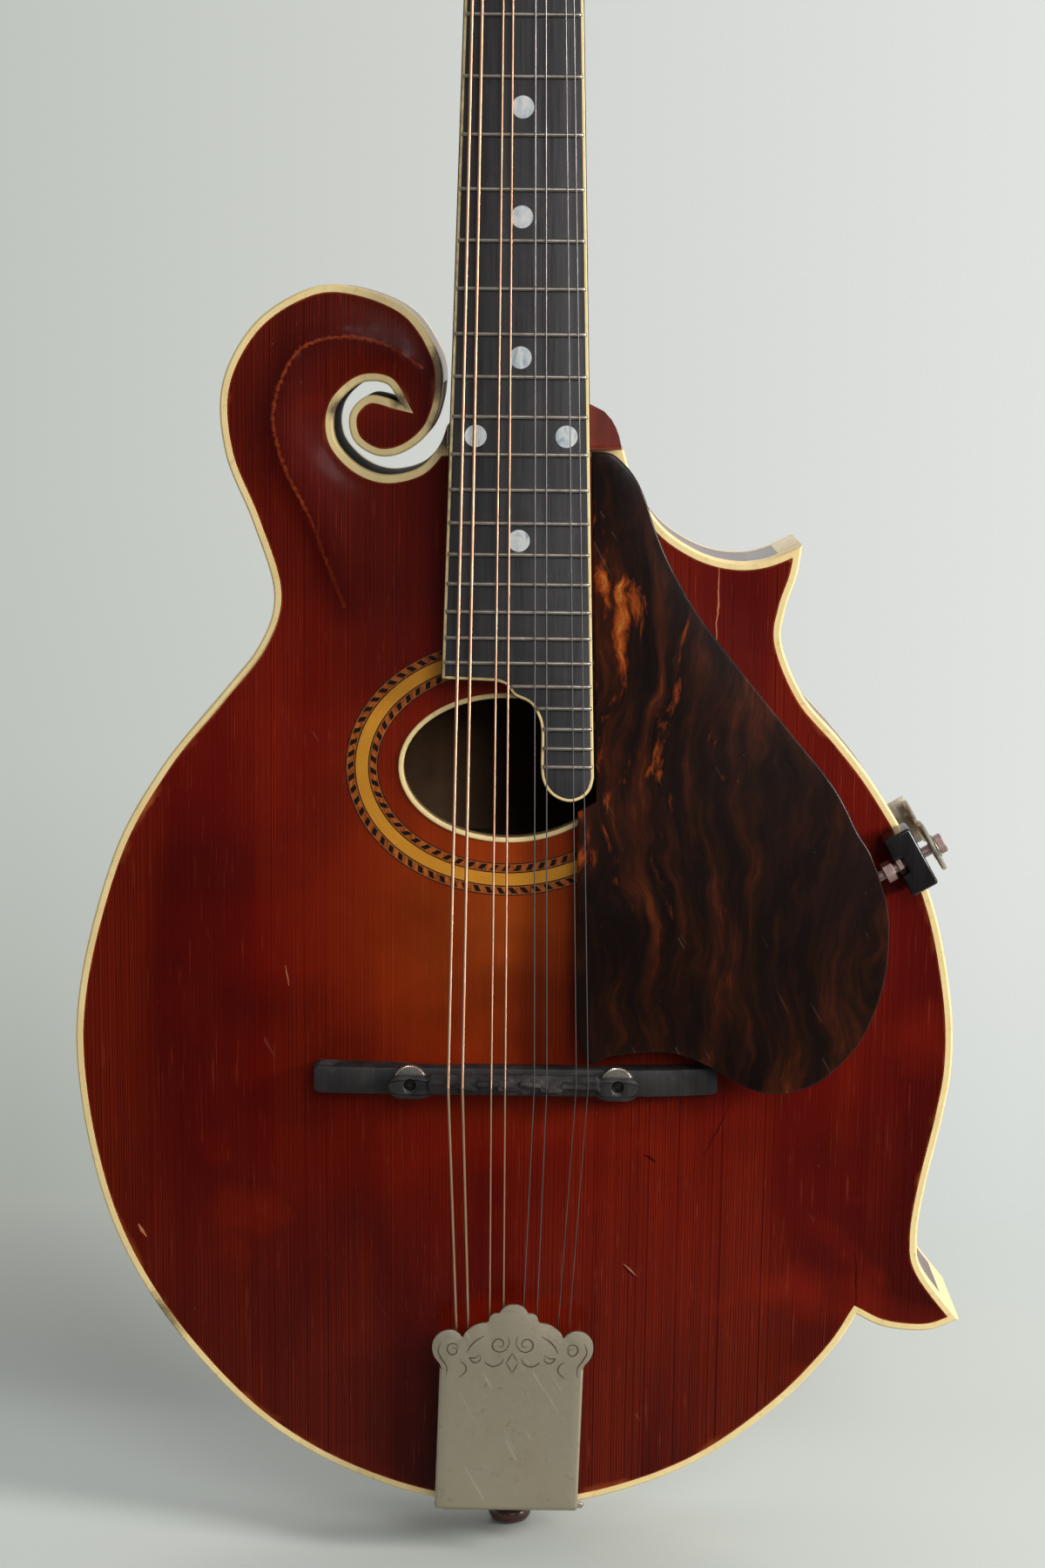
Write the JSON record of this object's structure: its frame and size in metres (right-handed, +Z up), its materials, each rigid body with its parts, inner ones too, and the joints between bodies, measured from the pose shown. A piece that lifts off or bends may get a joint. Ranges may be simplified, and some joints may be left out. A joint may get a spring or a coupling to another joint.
{
  "type": "f-style mandolin",
  "caption": "Carved-top mandolin with a body scroll, points, an oval soundhole, a raised finger guard, a height-adjustable bridge and geared tuners.",
  "frame": {"origin": "centre of the end pin's outer face", "axes": "+Z up along the body towards the headstock, -Y out of the soundboard, +X towards the treble side; Y = 0 is the middle of the ribs"},
  "size_m": [0.2635, 0.0808, 0.6687],
  "materials": {
    "top_wood": "dark red sunburst varnish over carved spruce, worn gloss",
    "body_wood": "dark red-brown varnish, worn gloss",
    "bare_wood": "unfinished inside wood",
    "ivoroid": "aged grained ivoroid",
    "knob_ivoroid": "polished",
    "rosette_inlay": "inlaid rope rings round an amber band",
    "label_paper": "aged and left bare",
    "ebony": "dark, satin",
    "fret_nickel": "worn nickel silver",
    "bone": "aged bone",
    "nickel": "dull, tarnished nickel plate",
    "tortoise": "mottled tortoise celluloid",
    "pin_wood": "turned and polished",
    "string_bronze": "wound bronze",
    "string_steel": "plain steel"
  },
  "bodies": {
    "instrument": {"top_plate": "top_wood", "back_plate": "body_wood", "rib_bass": "body_wood", "rib_upper_treble": "body_wood", "rib_treble": "body_wood", "neck": "body_wood", "head_block": "bare_wood", "tail_block": "bare_wood", "top_lining": "bare_wood", "back_lining": "bare_wood", "cross_brace": "bare_wood", "top_binding": "ivoroid", "back_binding": "ivoroid", "soundhole_binding": "ivoroid", "fretboard_binding": "ivoroid", "rosette": "rosette_inlay", "label": "label_paper", "fretboard": "ebony", "headstock_veneer": "ebony", "bridge_base": "ebony", "bridge_post_bass": "ebony", "bridge_post_treble": "ebony", "frets": "fret_nickel", "nut": "bone", "tailpiece_base": "nickel", "guard_clamp_bracket": "nickel", "guard_clamp_rod": "nickel", "tuner_plate_bass": "nickel", "tuner_plate_treble": "nickel", "pickguard": "tortoise", "guard_clamp_block": "tortoise", "end_pin": "pin_wood", "string_1": "string_bronze", "string_2": "string_bronze", "string_3": "string_bronze", "string_4": "string_bronze", "string_5": "string_steel", "string_6": "string_steel", "string_7": "string_steel", "string_8": "string_steel"},
    "saddle": {"saddle": "ebony"},
    "bridge_wheel_bass": {"bridge_wheel_bass": "nickel"},
    "bridge_wheel_treble": {"bridge_wheel_treble": "nickel"},
    "tailpiece_cover": {"tailpiece_cover": "nickel"},
    "tuner_post_1": {"tuner_post_1": "nickel"},
    "tuner_knob_1": {"tuner_knob_1": "knob_ivoroid"},
    "tuner_post_2": {"tuner_post_2": "nickel"},
    "tuner_knob_2": {"tuner_knob_2": "knob_ivoroid"},
    "tuner_post_3": {"tuner_post_3": "nickel"},
    "tuner_knob_3": {"tuner_knob_3": "knob_ivoroid"},
    "tuner_post_4": {"tuner_post_4": "nickel"},
    "tuner_knob_4": {"tuner_knob_4": "knob_ivoroid"},
    "tuner_post_5": {"tuner_post_5": "nickel"},
    "tuner_knob_5": {"tuner_knob_5": "knob_ivoroid"},
    "tuner_post_6": {"tuner_post_6": "nickel"},
    "tuner_knob_6": {"tuner_knob_6": "knob_ivoroid"},
    "tuner_post_7": {"tuner_post_7": "nickel"},
    "tuner_knob_7": {"tuner_knob_7": "knob_ivoroid"},
    "tuner_post_8": {"tuner_post_8": "nickel"},
    "tuner_knob_8": {"tuner_knob_8": "knob_ivoroid"}
  },
  "joints": [
    {"name": "saddle_lift", "type": "slide", "parent": "instrument", "child": "saddle", "axis": [0, -1, 0], "range_m": [0, 0.0032], "deforming": ["string_1", "string_2", "string_3", "string_4", "string_5", "string_6", "string_7", "string_8"]},
    {"name": "bridge_wheel_bass_turn", "type": "hinge", "parent": "saddle", "child": "bridge_wheel_bass", "pos_m": [-0.03, -0.0333, 0.14961], "axis": [0, -1, 0], "range_deg": [0, 1440]},
    {"name": "bridge_wheel_treble_turn", "type": "hinge", "parent": "saddle", "child": "bridge_wheel_treble", "pos_m": [0.03, -0.0333, 0.14961], "axis": [0, -1, 0], "range_deg": [0, 1440]},
    {"name": "tailpiece_cover_slide", "type": "slide", "parent": "instrument", "child": "tailpiece_cover", "axis": [0, 0, -1], "range_m": [0, 0.045]},
    {"name": "tuner_knob_1_turn", "type": "hinge", "parent": "instrument", "child": "tuner_knob_1", "pos_m": [-0.0185, 0.00996, 0.54568], "axis": [1, 0, 0], "continuous": true},
    {"name": "tuner_post_1_turn", "type": "hinge", "parent": "instrument", "child": "tuner_post_1", "pos_m": [-0.0185, -0.01256, 0.54371], "axis": [0, 0.9613, -0.2756], "continuous": true},
    {"name": "tuner_knob_2_turn", "type": "hinge", "parent": "instrument", "child": "tuner_knob_2", "pos_m": [-0.0185, 0.01643, 0.56827], "axis": [1, 0, 0], "continuous": true},
    {"name": "tuner_post_2_turn", "type": "hinge", "parent": "instrument", "child": "tuner_post_2", "pos_m": [-0.0185, -0.00608, 0.5663], "axis": [0, 0.9613, -0.2756], "continuous": true},
    {"name": "tuner_knob_3_turn", "type": "hinge", "parent": "instrument", "child": "tuner_knob_3", "pos_m": [-0.0185, 0.02291, 0.59086], "axis": [1, 0, 0], "continuous": true},
    {"name": "tuner_post_3_turn", "type": "hinge", "parent": "instrument", "child": "tuner_post_3", "pos_m": [-0.0185, 0.00039, 0.58888], "axis": [0, 0.9613, -0.2756], "continuous": true},
    {"name": "tuner_knob_4_turn", "type": "hinge", "parent": "instrument", "child": "tuner_knob_4", "pos_m": [-0.0185, 0.02939, 0.61345], "axis": [1, 0, 0], "continuous": true},
    {"name": "tuner_post_4_turn", "type": "hinge", "parent": "instrument", "child": "tuner_post_4", "pos_m": [-0.0185, 0.00687, 0.61147], "axis": [0, 0.9613, -0.2756], "continuous": true},
    {"name": "tuner_knob_5_turn", "type": "hinge", "parent": "instrument", "child": "tuner_knob_5", "pos_m": [0.0185, 0.00996, 0.54568], "axis": [1, 0, 0], "continuous": true},
    {"name": "tuner_post_5_turn", "type": "hinge", "parent": "instrument", "child": "tuner_post_5", "pos_m": [0.0185, -0.01256, 0.54371], "axis": [0, 0.9613, -0.2756], "continuous": true},
    {"name": "tuner_knob_6_turn", "type": "hinge", "parent": "instrument", "child": "tuner_knob_6", "pos_m": [0.0185, 0.01643, 0.56827], "axis": [1, 0, 0], "continuous": true},
    {"name": "tuner_post_6_turn", "type": "hinge", "parent": "instrument", "child": "tuner_post_6", "pos_m": [0.0185, -0.00608, 0.5663], "axis": [0, 0.9613, -0.2756], "continuous": true},
    {"name": "tuner_knob_7_turn", "type": "hinge", "parent": "instrument", "child": "tuner_knob_7", "pos_m": [0.0185, 0.02291, 0.59086], "axis": [1, 0, 0], "continuous": true},
    {"name": "tuner_post_7_turn", "type": "hinge", "parent": "instrument", "child": "tuner_post_7", "pos_m": [0.0185, 0.00039, 0.58888], "axis": [0, 0.9613, -0.2756], "continuous": true},
    {"name": "tuner_knob_8_turn", "type": "hinge", "parent": "instrument", "child": "tuner_knob_8", "pos_m": [0.0185, 0.02939, 0.61345], "axis": [1, 0, 0], "continuous": true},
    {"name": "tuner_post_8_turn", "type": "hinge", "parent": "instrument", "child": "tuner_post_8", "pos_m": [0.0185, 0.00687, 0.61147], "axis": [0, 0.9613, -0.2756], "continuous": true}
  ],
  "couplings": [
    {"joint": "bridge_wheel_bass_turn", "follows": "saddle_lift", "rad_per_m": 7854},
    {"joint": "bridge_wheel_treble_turn", "follows": "saddle_lift", "rad_per_m": 7854},
    {"joint": "tuner_post_1_turn", "follows": "tuner_knob_1_turn", "ratio": 0.071429},
    {"joint": "tuner_post_2_turn", "follows": "tuner_knob_2_turn", "ratio": 0.071429},
    {"joint": "tuner_post_3_turn", "follows": "tuner_knob_3_turn", "ratio": 0.071429},
    {"joint": "tuner_post_4_turn", "follows": "tuner_knob_4_turn", "ratio": 0.071429},
    {"joint": "tuner_post_5_turn", "follows": "tuner_knob_5_turn", "ratio": -0.071429},
    {"joint": "tuner_post_6_turn", "follows": "tuner_knob_6_turn", "ratio": -0.071429},
    {"joint": "tuner_post_7_turn", "follows": "tuner_knob_7_turn", "ratio": -0.071429},
    {"joint": "tuner_post_8_turn", "follows": "tuner_knob_8_turn", "ratio": -0.071429}
  ]
}
